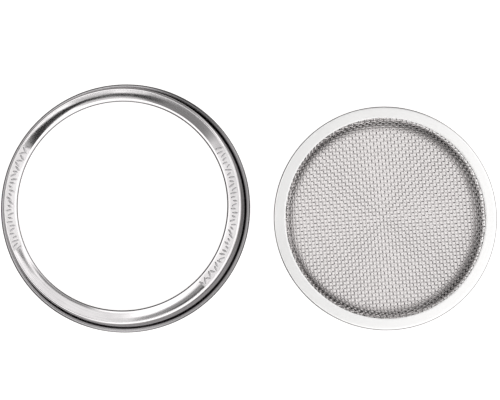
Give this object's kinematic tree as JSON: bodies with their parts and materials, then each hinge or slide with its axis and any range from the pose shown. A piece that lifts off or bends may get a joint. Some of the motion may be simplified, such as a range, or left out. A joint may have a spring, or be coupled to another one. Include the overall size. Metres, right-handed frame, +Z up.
{
  "type": "sieve lid",
  "caption": "Two-piece stainless sieve lid for a wide-mouth jar: a screw band with a turned flange and curled foot, and a dished wire-mesh disc in a folded rim.",
  "frame": {"origin": "on the bench, under the middle of the whole set: the band stands to -X and the sieve disc lies to +X", "axes": "+X from the band to the disc, +Z up along the axes of both pieces"},
  "size_m": [0.1876, 0.0942, 0.0165],
  "materials": {
    "polished_steel": "polished stainless steel",
    "satin_steel": "satin stainless steel, faintly ringed",
    "mesh_steel": "drawn stainless wire, plain weave"
  },
  "bodies": {
    "sieve": {"sieve_rim": "satin_steel", "wire_mesh": "mesh_steel"},
    "band": {"screw_band": "polished_steel"}
  },
  "joints": [
    {"name": "band_lift", "type": "slide", "parent": "sieve", "child": "band", "axis": [0.7751, 0, 0.6318], "range_m": [0, 0.12662]}
  ]
}
